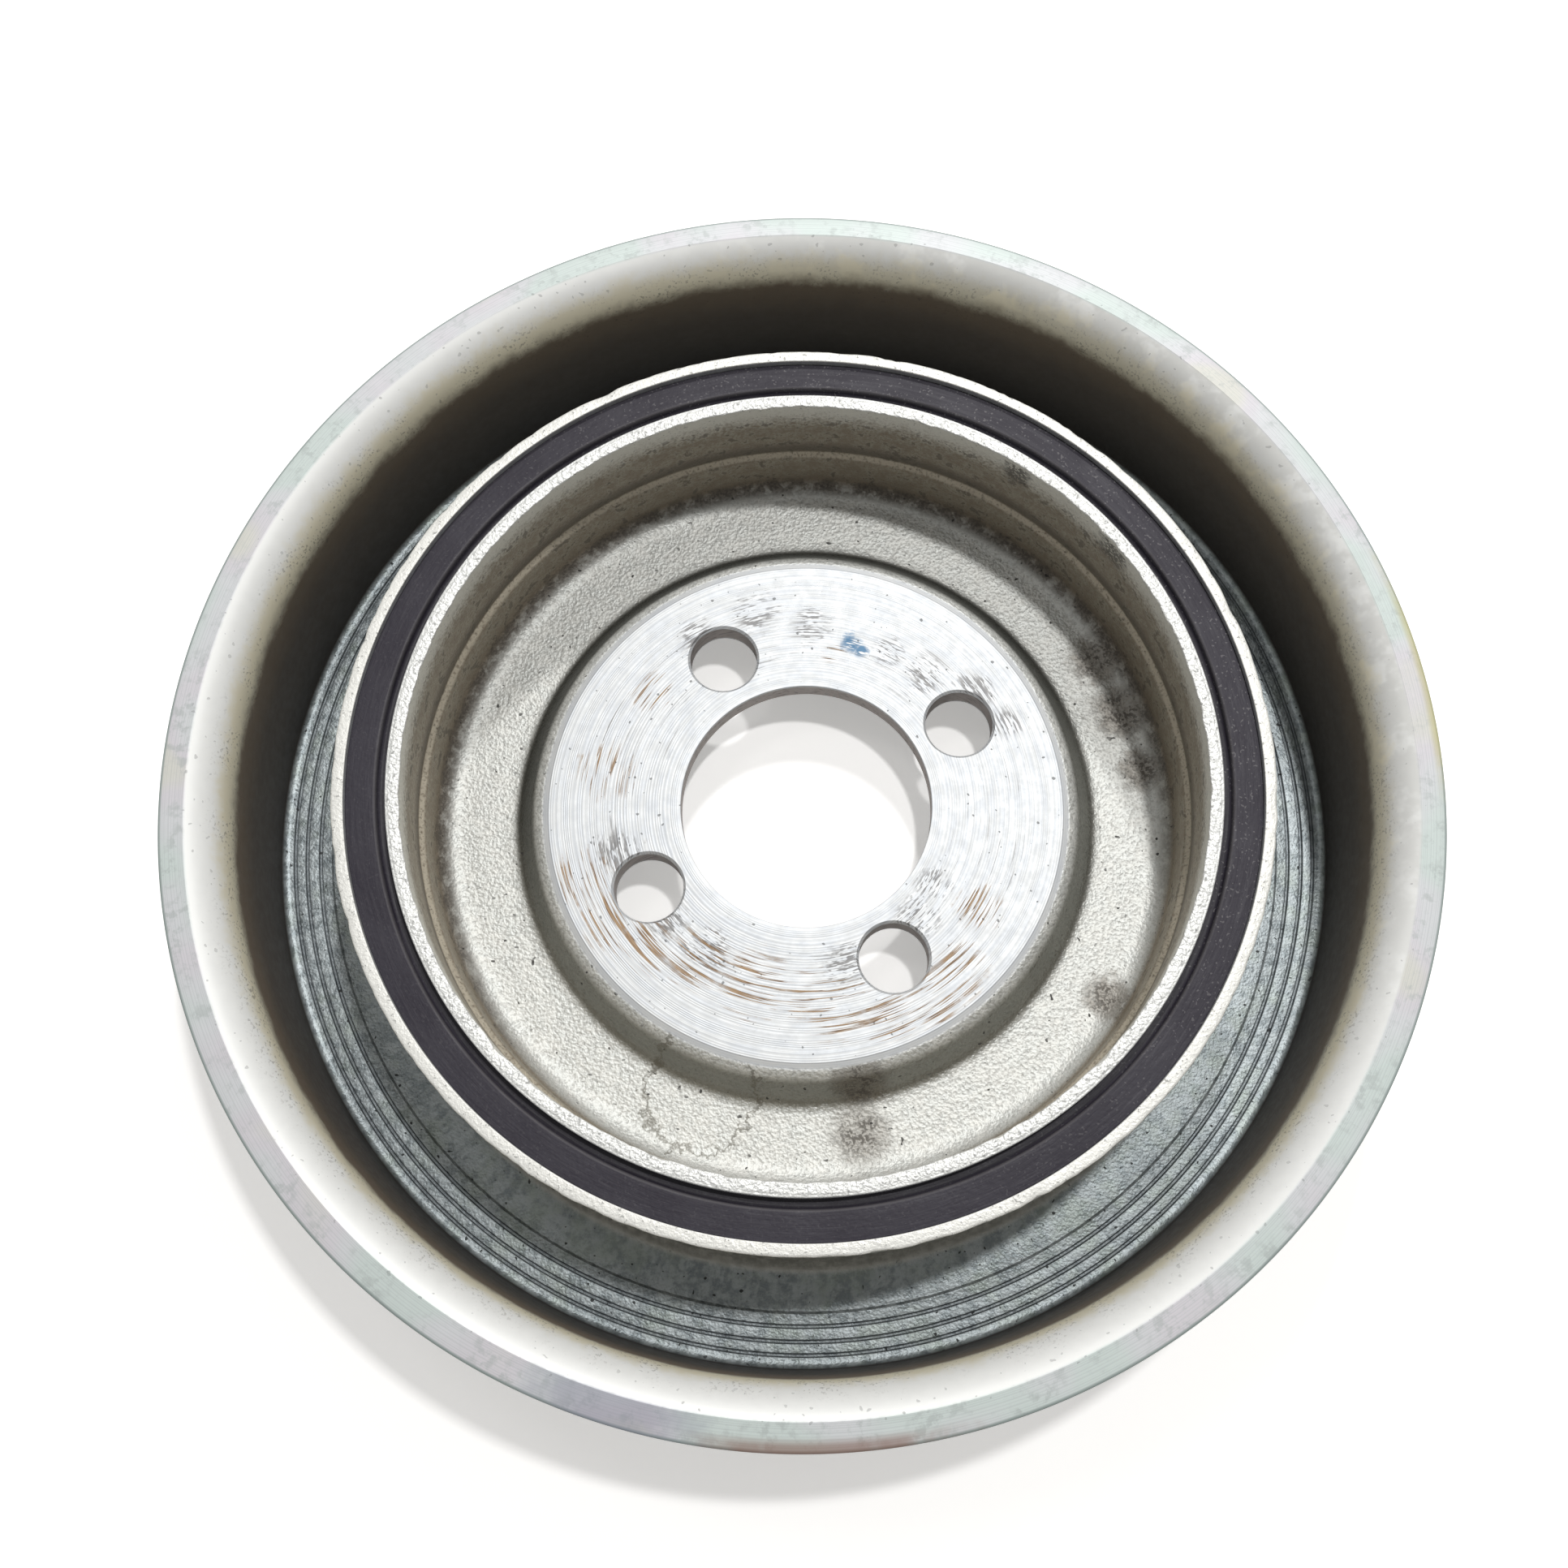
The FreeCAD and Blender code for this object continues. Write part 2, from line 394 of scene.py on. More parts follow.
RING_PLACE = ring_place_group()
TURNED_LINES = turned_lines_group()
BLACK_PITS = black_pits_group()
STAIN = stain_group()


def effect(tree, group, **inputs):
    """A shared effect placed in a finish; the names of its inputs are capitalised."""
    return place_node(
        tree, "ShaderNodeGroup",
        {name.capitalize(): value for name, value in inputs.items()},
        node_tree=group).outputs


def finish_named(name):
    """A new material with its node tree and its surface shader."""
    material = bpy.data.materials.new(name)
    material.use_nodes = True
    return material, material.node_tree, material.node_tree.nodes["Principled BSDF"]


def facing(tree, here, x, y):
    """How far a point of the ring lies towards a direction: 1 in it, -1 opposite to it."""
    return place_node(tree, "ShaderNodeVectorMath", {0: here["Around"], 1: (x, y, 0)},
                      operation="DOT_PRODUCT").outputs["Value"]


def nearness(tree, place, uneven, ragged, stains):
    """How far a point lies in any of the stains (x, y, reach), with an uneven outline."""
    total = FAR_AWAY
    for x, y, reach in stains:
        total = effect(tree, STAIN, place=place, spot=(x, y, 0), reach=reach,
                       before=total)["Nearness"]
    shift = worked_out(tree, "MULTIPLY_ADD", uneven, -2.0 * ragged, ragged)
    return worked_out(tree, "ADD", total, shift)


def spots(tree, place, uneven, ragged, stains, edge=0.65):
    """Several stains as one mask with a soft edge."""
    return rise(tree, nearness(tree, place, uneven, ragged, stains), 0.0, edge)


def relief(tree, surface, height):
    """Fine relief in millimetres, put on the surface as its normal."""
    bump = place_node(tree, "ShaderNodeBump", {
        "Height": height, "Strength": 1.0, "Distance": MM})
    tree.links.new(bump.outputs[0], surface.inputs["Normal"])


BRIGHT_ZINC = (0.71, 0.72, 0.72, 1)
BLUE_ZINC = (0.67, 0.69, 0.71, 1)
LINE_GREY = (0.40, 0.42, 0.44, 1)
GREY_ZINC = (0.65, 0.66, 0.63, 1)
PALE_FLOOR = (0.77, 0.77, 0.73, 1)
FLOOR_GRAIN = (0.28, 0.27, 0.25, 1)
SHADED_STEP = (0.215, 0.215, 0.19, 1)
STEP_SHADE_FAR_SIDE = (0.075, 0.075, 0.064, 1)
BROWN_WALL = (0.31, 0.260, 0.195, 1)
GREY_WALL = (0.50, 0.46, 0.37, 1)
LOW_WALL = (0.26, 0.215, 0.16, 1)
PALE_WALL = (0.80, 0.78, 0.70, 1)
LEDGE_BEIGE_AND_HIGHLIGHT = (0.60, 0.54, 0.43, 1)
SHADE_AND_BLOTCH_BROWN = (0.135, 0.115, 0.09, 1)
SOFT_DIRT_AND_SHADE = (0.15, 0.115, 0.080, 1)
DIRT_AND_CORNER_SHADE = (0.045, 0.035, 0.025, 1)
FRONT_DIRT = (0.36, 0.35, 0.32, 1)
DRIED_RING = (0.20, 0.19, 0.16, 1)
OCHRE_RUST = (0.44, 0.25, 0.09, 1)
DARK_RUST = (0.10, 0.045, 0.02, 1)
SCUFF_GREY = (0.10, 0.090, 0.085, 1)
BLUE_INK = (0.03, 0.14, 0.27, 1)
BORE_BEIGE = (0.46, 0.42, 0.40, 1)
END_FACE = (0.84, 0.84, 0.81, 1)
PIT_BLACK = (0.02, 0.018, 0.016, 1)

# Stains on the hub in millimetres: x, y, reach
# The last soft stain is a painted shadow in the floor's corner
SOFT_STAINS = (
    (37.4, 23.2, 4.8), (40.4, 16.0, 5.2), (43.0, 8.2, 3.8), (38.6, -21.8, 4.0))
SMUDGES = ((8.6, -39.7, 4.9), (8.3, -33.8, 4.4))
DRIED_DROP = ((-11.0, -36.0, 7.0),)
WALL_STAINS = ((24.6, 40.7, 2.4), (36.5, 30.6, 3.4))
SCUFFED_SPOTS = (
    (9.5, 21.0, 3.0), (14.4, 18.2, 3.6), (20.7, 16.3, 3.6), (24.9, 12.1, 3.0),
    (-15.2, 21.7, 3.4), (-8.1, 25.6, 4.0), (-0.6, 24.2, 3.4), (-23.1, -7.4, 4.0),
    (-16.5, -15.3, 4.0), (-11.2, -19.1, 4.0), (5.6, -20.2, 3.6), (14.3, -13.8, 3.6),
    (16.2, -9.6, 3.0))
RUSTY_SPOTS = (
    (-25.4, 3.0, 4.4), (-27.0, -11.0, 4.6), (-23.5, -16.0, 4.6), (-19.0, -19.0, 4.6),
    (19.6, -20.2, 4.2), (16.6, -24.0, 4.2), (11.3, -26.4, 4.4), (4.9, -25.4, 5.0),
    (22.0, -12.2, 3.6), (-12.2, -20.2, 4.6), (-5.1, -23.0, 5.4), (1.9, -23.9, 4.2),
    (2.6, 20.2, 2.0), (-20.5, 14.0, 3.2))
INK_SPOTS = ((4.6, 21.9, 1.8), (6.0, 20.9, 1.2))


def cup_areas(tree, radius, height):
    """Where each turned, pressed or sheared surface of the cup lies, as masks."""
    flange = product(tree, rise(tree, height, -0.35, -0.12),
                     rise(tree, radius, FLANGE_EDGE + 0.15, FLANGE_EDGE - 0.05))
    down_step = worked_out(tree, "MULTIPLY_ADD", height, 0.56, radius)
    sunk = product(tree, rise(tree, height, -0.15, -0.4),
                   rise(tree, radius, CUP_WALL + 0.15, CUP_WALL - 0.35),
                   rise(tree, height, CUP_FLOOR - 1.1, CUP_FLOOR - 0.3),
                   rise(tree, down_step, FLANGE_EDGE - 0.5, FLANGE_EDGE + 0.2))
    front = rise(tree, height, HUB_FRONT + 2.4, HUB_FRONT + 1.0)
    step = product(tree, sunk, band(tree, height, CUP_FLOOR - 0.4, -1.2, 0.55),
                   rise(tree, radius, STEP_FOOT + 1.1, STEP_FOOT))
    wall = product(tree, rise(tree, radius, CUP_WALL - 0.85, CUP_WALL - 0.05),
                   rise(tree, radius, CUP_OUTSIDE - 0.25, CUP_OUTSIDE - 0.55),
                   rise(tree, height, CUP_FLOOR - 0.1, CUP_FLOOR + 2.4))
    ledge = product(tree, rise(tree, radius, CUP_WALL - 0.25, CUP_WALL + 0.05),
                    band(tree, height, LEDGE_HEIGHT - 0.55, LEDGE_HEIGHT + 0.02, 0.12), wall)
    end = product(tree, rise(tree, height, CUP_END - 0.25, CUP_END - 0.05),
                  rise(tree, radius, MOUTH_RADIUS - 0.5, MOUTH_RADIUS - 0.2))
    return flange, sunk, front, step, wall, ledge, end


def cup_wall_tone(tree, height, small, grain):
    """Brown, blotches and painted shade over the ledge; paler towards the mouth, darker below.
    """
    tone = painted(tree, BROWN_WALL, GREY_WALL, rise(tree, small, 0.3, 0.75))
    tone = painted(tree, tone, LOW_WALL, rise(tree, grain, 0.54, 0.38), 0.5)
    rough = worked_out(tree, "ADD", grain, small)
    towards_mouth = worked_out(
        tree, "MULTIPLY_ADD", rough, 4.0, worked_out(tree, "SUBTRACT", height, 4.0))
    tone = painted(tree, tone, PALE_WALL, rise(tree, towards_mouth, 10.2, 14.6), 0.92)
    tone = painted(tree, tone, LOW_WALL, rise(tree, height, 2.0, -4.0), 0.7)
    # Painted shade just above the ledge
    shade_over_ledge = product(tree, rise(tree, height, LEDGE_HEIGHT, LEDGE_HEIGHT + 0.4),
                         rise(tree, height, LEDGE_HEIGHT + 3.5, LEDGE_HEIGHT + 1.0))
    tone = painted(tree, tone, SHADE_AND_BLOTCH_BROWN, shade_over_ledge, 0.75)
    # Dark blotches, in the same brown as the painted shade over the ledge
    blotches = product(tree, rise(tree, small, 0.56, 0.63), rise(tree, height, 14.5, 12.0))
    tone = painted(tree, tone, SHADE_AND_BLOTCH_BROWN, blotches, 0.7)
    return tone


def cup_dirt_and_shade(tree, colour, here, small, grain, to_behind, sunk, wall):
    """Dirt on the floor and at the wall's foot with painted shade, a dried drop, wall marks."""
    flat, radius, height = here["Flat"], here["Radius"], here["Height"]
    inside_cup = rise(tree, height, CUP_FLOOR - 1.6, CUP_FLOOR - 0.6)
    # Dirt with painted shade along the floor's corner, strongest on the side away from the
    # viewer
    corner = product(tree, band(tree, radius, CUP_WALL - 1.25, CUP_WALL + 0.25, 0.8),
                     rise(tree, height, -1.0, -4.0), inside_cup,
                     rise(tree, to_behind, -0.9, 0.2, 0.25, 0.85))
    # Dirt and painted shade at the wall's foot, also strongest away from the viewer
    foot = product(tree, band(tree, radius, CUP_WALL - 1.25, CUP_WALL + 0.25, 0.7),
                   rise(tree, height, -1.6, -3.2), inside_cup,
                   rise(tree, to_behind, -0.75, 0.3), rise(tree, small, 0.36, 0.52), 0.62)
    colour = painted(tree, colour, DIRT_AND_CORNER_SHADE, foot)
    soft_dirt_and_shade = strongest(
        tree, product(tree, spots(tree, flat, small, 0.8, SOFT_STAINS), sunk), corner)
    colour = painted(tree, colour, SOFT_DIRT_AND_SHADE, soft_dirt_and_shade, 0.60)
    smudges = spots(tree, flat, small, 0.6, SMUDGES)
    colour = painted(tree, colour, SOFT_DIRT_AND_SHADE, smudges, sunk, 0.42)
    dirt_and_shade = product(tree, strongest(tree, soft_dirt_and_shade, smudges), rise(tree, grain, 0.41, 0.55),
                   rise(tree, small, 0.40, 0.56), 0.70, strongest(tree, sunk, corner))
    colour = painted(tree, colour, DIRT_AND_CORNER_SHADE, dirt_and_shade)
    ring_mark = band(tree, nearness(tree, flat, small, 0.40, DRIED_DROP), -0.02, 0.05, 0.03)
    colour = painted(tree, colour, DRIED_RING, ring_mark, sunk, 0.75)
    upper = product(tree, wall, rise(tree, height, LEDGE_HEIGHT - 0.1, LEDGE_HEIGHT + 0.3))
    wall_marks = product(tree, spots(tree, flat, small, 0.9, WALL_STAINS), upper,
                         rise(tree, grain, 0.36, 0.50), rise(tree, height, 10.5, 12.0),
                         rise(tree, height, CUP_END - 0.4, CUP_END - 1.0))
    colour = painted(tree, colour, DIRT_AND_CORNER_SHADE, wall_marks, 0.75)
    return colour, dirt_and_shade


def marked_flange(tree, colour, here, small, fine_arcs, flange):
    """Scuffs and rust on the flange, drawn out along the turning, and an ink mark."""
    flat, radius = here["Flat"], here["Radius"]
    long_arcs = cloud(tree, here["Sweeping"], 1.0, 2.0, 0.68)
    scored = worked_out(tree, "MULTIPLY_ADD", fine_arcs, 0.45, product(tree, long_arcs, 0.55))
    scuffs = product(tree, spots(tree, flat, small, 0.6, SCUFFED_SPOTS), flange,
                     rise(tree, scored, 0.49, 0.54))
    stray = product(tree, flange, band(tree, radius, 18.5, 28.0, 1.0),
                    rise(tree, long_arcs, 0.64, 0.67), 0.7)
    colour = painted(tree, colour, SCUFF_GREY, strongest(tree, scuffs, stray), 0.72)
    rust_area = product(tree, spots(tree, flat, small, 0.5, RUSTY_SPOTS), flange)
    rust = product(tree, rust_area, rise(tree, long_arcs, 0.53, 0.59))
    colour = painted(tree, colour, OCHRE_RUST, rust, 0.78)
    deep_rust = product(tree, rust_area, band(tree, long_arcs, 0.575, 0.60, 0.012))
    colour = painted(tree, colour, DARK_RUST, deep_rust, 0.85)
    ink = spots(tree, flat, small, 0.7, INK_SPOTS)
    colour = painted(tree, colour, BLUE_INK, ink, flange, rise(tree, fine_arcs, 0.34, 0.5), 0.9)
    return colour, rust


def cup_finish():
    """Zinc on turned, blasted and sheared steel: rust and soiling of use, and painted shade."""
    material, tree, surface = finish_named("zinc_plated_cup")
    here = effect(tree, RING_PLACE)
    place, radius, height = here["Place"], here["Radius"], here["Height"]
    small = cloud(tree, place, 0.55, 3.0, 0.68)
    grain = cloud(tree, place, 2.4, 1.0, 0.55)
    arcs = cloud(tree, here["Turning"], 1.0, 1.0, 0.6)
    fine_arcs = cloud(tree, here["Turning"], 2.6, 1.0, 0.7)
    lines = effect(tree, TURNED_LINES, radius=radius, pitch=0.36)["Lines"]
    flange, sunk, front, step, wall, ledge, end = cup_areas(tree, radius, height)

    # The tone of each surface: turned zinc, blasted floor, front, step, wall, ledge, end
    colour = painted(tree, BRIGHT_ZINC, BLUE_ZINC, rise(tree, arcs, 0.40, 0.65))
    colour = painted(tree, colour, LINE_GREY, rise(tree, lines, 0.42, 0.78), 0.34)
    floor_tone = painted(tree, GREY_ZINC, PALE_FLOOR, rise(tree, small, 0.35, 0.7))
    floor_tone = painted(tree, floor_tone, FLOOR_GRAIN, rise(tree, grain, 0.52, 0.34), 0.35)
    colour = painted(tree, colour, floor_tone, sunk)
    colour = painted(tree, colour, FRONT_DIRT, front, rise(tree, small, 0.42, 0.66), 0.5)
    # The step: dark plating at the bend, with painted shade deepest on the side away from the
    # viewer
    to_behind = facing(tree, here, -0.34, 0.94)
    step_tone = painted(tree, SHADED_STEP, STEP_SHADE_FAR_SIDE, rise(tree, to_behind, -0.3, 0.4))
    colour = painted(tree, colour, step_tone, step,
                     rise(tree, to_behind, -0.4, 0.5, 0.80, 0.96))
    colour = painted(tree, colour, cup_wall_tone(tree, height, small, grain), wall)
    # The ledge: beige zinc with a painted highlight on its upward face
    colour = painted(tree, colour, LEDGE_BEIGE_AND_HIGHLIGHT, ledge, rise(tree, grain, 0.2, 0.55))
    colour = painted(tree, colour, END_FACE, end)

    # Dirt and painted corner shade, rust, marks, the inside of the bore and bolt holes, and
    # pits
    colour, dirt_and_shade = cup_dirt_and_shade(tree, colour, here, small, grain, to_behind, sunk, wall)
    colour, rust = marked_flange(tree, colour, here, small, fine_arcs, flange)
    drilled = product(tree, rise(tree, radius, 29.0, 28.0), band(tree, height, -3.2, -0.4, 0.1))
    colour = painted(tree, colour, BORE_BEIGE, drilled)
    scraped = product(tree, drilled, rise(tree, fine_arcs, 0.55, 0.68), 0.6)
    colour = painted(tree, colour, SCUFF_GREY, scraped)
    pits = effect(tree, BLACK_PITS, place=place, finesse=1.5, rarity=0.79)["Pits"]
    pit_area = strongest(tree, product(tree, sunk, rise(tree, small, 0.35, 0.6)),
                         product(tree, flange, 0.55))
    speckled = product(tree, rise(tree, grain, 0.66, 0.72),
                       strongest(tree, product(tree, end, 0.5), product(tree, wall, 0.35)))
    holes = strongest(tree, product(tree, pits, pit_area), speckled)
    colour = painted(tree, colour, PIT_BLACK, holes, 0.9)
    tree.links.new(colour, surface.inputs["Base Color"])

    # Dirt, painted corner shade and rust aren't metal; the step is smoothest, the floor
    # coarsest
    matt_marks = strongest(tree, dirt_and_shade, holes, rust)
    shine = worked_out(tree, "MULTIPLY_ADD", step, 0.45, 0.45)
    clean = worked_out(tree, "MULTIPLY_ADD", matt_marks, -0.85, 1.0)
    tree.links.new(product(tree, shine, clean), surface.inputs["Metallic"])
    dull = worked_out(tree, "MULTIPLY_ADD", step, -0.16, 0.52)
    dull = worked_out(tree, "MULTIPLY_ADD", matt_marks, 0.20, dull)
    dull = worked_out(tree, "MULTIPLY_ADD", rise(tree, small, 0.3, 0.7), 0.08, dull)
    tree.links.new(dull, surface.inputs["Roughness"])

    blasted = product(tree, strongest(tree, sunk, end), grain, 0.15)
    coarse = product(tree, wall, grain, 0.10)
    turned = product(tree, flange, lines, 0.02)
    relief(tree, surface, worked_out(
        tree, "ADD", worked_out(tree, "ADD", blasted, coarse), turned))
    return material


def sheared_edge(mesh, radius, height, width, wave, depth):
    """Uneven waves along a sheared or burred edge, in millimetres."""
    for vertex in mesh.vertices:
        spot = vertex.co / MM
        out = math.hypot(spot.x, spot.y)
        share = 1 - math.hypot(out - radius, spot.z - height) / width
        if share > 0:
            around = Vector((spot.x, spot.y, 0)) / out
            swing = noise.noise(around * radius / wave)
            swing += 0.5 * noise.noise(around * radius / wave * 3.1 + Vector((5, 0, 0)))
            vertex.co += (around * swing - Vector((0, 0, abs(swing)))) * depth * share * MM


hub_metal = cup_finish()
hub_blank = swept_blank("hub", HUB_CORNERS, 1.2, HUB_SWEEP, hub_metal)
hub_mesh = worked("hub_body", hub_blank, bolt_circle_tree(), {
    "Holes": BOLT_HOLES, "Circle radius": BOLT_CIRCLE * MM,
    "Hole radius": BOLT_HOLE_RADIUS * MM, "Hole sides": HOLE_SIDES,
    "Edge break": BOLT_HOLE_BREAK * MM, "First angle": math.radians(FIRST_HOLE_ANGLE),
    "Thickness": FLANGE_THICKNESS * MM, "Metal": hub_metal})
hub = made_piece("hub_cup", hub_mesh)
sheared_edge(hub.data, MOUTH_RADIUS, CUP_END, width=0.6, wave=2.2, depth=0.22)
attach(hub, "root")
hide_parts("hub")

# Damper ring: rubber, moulded as a strip and squeezed in between the cup and the collar.
# Its end stands just under the metal, with a moat along the cup where it has pulled away.
RUBBER_SWEEP = 0.05
RUBBER_FRONT = -4.5
MOAT_EDGE = 49.45
COLLAR_INSIDE = 53.1
RUBBER_CORNERS = [
    (CUP_OUTSIDE, RUBBER_FRONT, 0.0),
    (CUP_OUTSIDE, 14.5, 0.0),
    (MOAT_EDGE, 14.4, 0.45),
    (49.65, 15.5, 0.3),
    (COLLAR_INSIDE, 15.35, 0.12),
    (COLLAR_INSIDE, RUBBER_FRONT, 0.0),
]
DARK_RUBBER = (0.027, 0.023, 0.033, 1)
WORN_RUBBER = (0.040, 0.036, 0.047, 1)
DRAGGED_DUST = (0.075, 0.070, 0.080, 1)
LIP_HIGHLIGHT = (0.16, 0.15, 0.15, 1)
MOAT_SHADE = (0.030, 0.027, 0.034, 1)
DUST_SPECK_AND_SHEEN = (0.19, 0.18, 0.185, 1)


def rubber_finish():
    """Dark satin rubber, faint grey scuffs and dust, painted highlight on the moulded lip."""
    material, tree, surface = finish_named("satin_rubber")
    here = effect(tree, RING_PLACE)
    place, radius, height = here["Place"], here["Radius"], here["Height"]
    patches = cloud(tree, place, 0.12, 3.0, 0.6)
    drag = cloud(tree, here["Turning"], 1.4, 4.0, 0.65)
    specks = effect(tree, BLACK_PITS, place=place, finesse=3.4, rarity=0.72)["Pits"]
    colour = painted(tree, DARK_RUBBER, WORN_RUBBER, rise(tree, patches, 0.3, 0.7))
    colour = painted(tree, colour, DRAGGED_DUST, rise(tree, drag, 0.52, 0.72), 0.4)
    # A painted highlight along the moulded lip
    lip = product(tree, band(tree, radius, MOAT_EDGE, MOAT_EDGE + 0.4, 0.15),
                  rise(tree, height, 14.8, 15.3))
    colour = painted(tree, colour, LIP_HIGHLIGHT, lip, 0.35)
    # Painted shade in the moat along the cup
    colour = painted(tree, colour, MOAT_SHADE, rise(tree, radius, MOAT_EDGE, MOAT_EDGE - 0.25))
    # Light dust specks, with a painted sheen that grows towards the right-hand side
    to_right = facing(tree, here, 0.77, 0.64)
    colour = painted(tree, colour, DUST_SPECK_AND_SHEEN, specks,
                     rise(tree, to_right, -0.6, 0.8, 0.10, 0.55))
    tree.links.new(colour, surface.inputs["Base Color"])
    surface.inputs["Specular IOR Level"].default_value = 0.32
    tree.links.new(rise(tree, drag, 0.3, 0.75, 0.48, 0.66), surface.inputs["Roughness"])
    relief(tree, surface, worked_out(
        tree, "MULTIPLY_ADD", cloud(tree, place, 1.8, 1.0, 0.6), 0.04,
        product(tree, drag, 0.05)))
    return material


rubber_skin = rubber_finish()
rubber = made_piece("rubber_ring", swept_blank(
    "rubber", RUBBER_CORNERS, 1.0, RUBBER_SWEEP, rubber_skin))
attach(rubber, "root")
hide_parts("damper_ring")

# Belt rim: one steel sheet, drawn into the inner collar, the web and the drum wall.
# The belt grooves are rolled into its outer side, the mouth is flared and its face turned,
# and the whole is zinc plated like the hub.
RIM_SWEEP = 0.06
COLLAR_OUTSIDE = 54.5
COLLAR_END = 16.25
DRUM_WALL = 66.9
DRUM_FLOOR = -6.35
INNER_FLOOR = -6.15
FLOOR_STEP = 60.5
TOOL_RINGS = (62.2, 63.9, 65.4)
FLARE_RUN = 3.6
FLARE_RISE = 5.8
FLARE_ROUND = (FLARE_RUN ** 2 + FLARE_RISE ** 2) / (2 * FLARE_RUN)
RIM_FACE = 17.79
RIM_FRONT = -8.95
RIB_TIPS = 72.2
GUIDE_RADIUS = 73.6
GUIDE_SLOPE = 1.0
TRACK_REAR = 14.39
TRACK_FRONT = -6.25
GROOVES = 6
GROOVE_PITCH = 3.56
FIRST_GROOVE = -4.83
GROOVE_ROOT = 68.4
GROOVE_DEPTH = 3.8
GROOVE_ANGLE = 40
GROOVE_ROOT_WIDTH = 0.35
GROOVE_OVERCUT = 0.4


def flare_points(steps=10):
    """The drum wall's mouth, which leans outwards on one arc up to the turned rim face."""
    turn = math.asin(FLARE_RISE / FLARE_ROUND)
    points = []
    for k in range(steps + 1):
        angle = turn * k / steps
        radius = DRUM_WALL + FLARE_ROUND * (1 - math.cos(angle))
        height = RIM_FACE - FLARE_RISE + FLARE_ROUND * math.sin(angle)
        points.append((radius, height, 0.0))
    return points


def floor_ring(radius, width=0.5, depth=0.3):
    """Corners of one of the fine rings that the tool left in the drum floor."""
    return [
        (radius - width / 2, DRUM_FLOOR, 0.06),
        (radius - width / 4, DRUM_FLOOR - depth, 0.06),
        (radius + width / 4, DRUM_FLOOR - depth, 0.06),
        (radius + width / 2, DRUM_FLOOR, 0.06),
    ]


RIM_CORNERS = [
    (COLLAR_INSIDE, COLLAR_END, 0.12),
    (COLLAR_OUTSIDE, COLLAR_END, 0.3),
    (COLLAR_OUTSIDE, INNER_FLOOR, 2.2),
    (FLOOR_STEP, INNER_FLOOR, 0.1),
    (FLOOR_STEP + 0.3, DRUM_FLOOR, 0.1),
    *(corner for ring in TOOL_RINGS for corner in floor_ring(ring)),
    (DRUM_WALL, DRUM_FLOOR, 0.9),
    *flare_points(),
    (GUIDE_RADIUS, RIM_FACE - 0.7, 0.3),
    (GUIDE_RADIUS, TRACK_REAR + GUIDE_SLOPE, 0.35),
    (RIB_TIPS, TRACK_REAR, 0.2),
    (RIB_TIPS, TRACK_FRONT, 0.2),
    (GUIDE_RADIUS, TRACK_FRONT - GUIDE_SLOPE, 0.35),
    (GUIDE_RADIUS, RIM_FRONT, 0.5),
    (COLLAR_INSIDE, RIM_FRONT, 4.8),
]


def belt_groove_tree():
    """Geometry nodes that cut a row of ring grooves for the ribs of the belt."""
    tree, given = node_group("belt_grooves", "Geometry", (
        ("Blank", "Geometry"), ("Grooves", "Int", GROOVES),
        ("Pitch", "Float", GROOVE_PITCH * MM), ("First groove", "Float", 0.0),
        ("Root radius", "Float", GROOVE_ROOT * MM), ("Depth", "Float", GROOVE_DEPTH * MM),
        ("Overcut", "Float", GROOVE_OVERCUT * MM),
        ("Groove angle", "Float", math.radians(GROOVE_ANGLE)),
        ("Root width", "Float", GROOVE_ROOT_WIDTH * MM), ("Segments", "Int", SEGMENTS),
        ("Metal", "Material"),
    ), [("Grooved", "Geometry")])
    half_angle = worked_out(tree, "MULTIPLY", given["Groove angle"], 0.5)
    slope = worked_out(tree, "TANGENT", half_angle)
    reach = worked_out(tree, "ADD", given["Depth"], given["Overcut"])
    half_root = worked_out(tree, "MULTIPLY", given["Root width"], 0.5)
    half_mouth = worked_out(tree, "MULTIPLY_ADD", reach, slope, half_root)
    corners = []
    for out, across, side in (
        (0.0, half_root, 1.0), (0.0, half_root, -1.0),
        (reach, half_mouth, -1.0), (reach, half_mouth, 1.0),
    ):
        corner = place_node(tree, "ShaderNodeCombineXYZ", {
            "X": out, "Y": worked_out(tree, "MULTIPLY", across, side)})
        corners.append(corner.outputs[0])
    shape = place_node(
        tree, "GeometryNodeCurvePrimitiveQuadrilateral",
        {f"Point {k + 1}": corner for k, corner in enumerate(corners)}, mode="POINTS")
    roller = swept_round(tree, shape.outputs[0], given["Segments"], given["Root radius"])
    start = place_node(tree, "ShaderNodeCombineXYZ", {"Z": given["First groove"]})
    step = place_node(tree, "ShaderNodeCombineXYZ", {"Z": given["Pitch"]})
    row = place_node(tree, "GeometryNodeMeshLine", {
        "Count": given["Grooves"], "Start Location": start.outputs[0],
        "Offset": step.outputs[0]})
    grooved = cut_at_points(tree, given["Blank"], row.outputs[0], roller)
    given_out(tree, "Grooved", grooved, given["Metal"])
    return tree


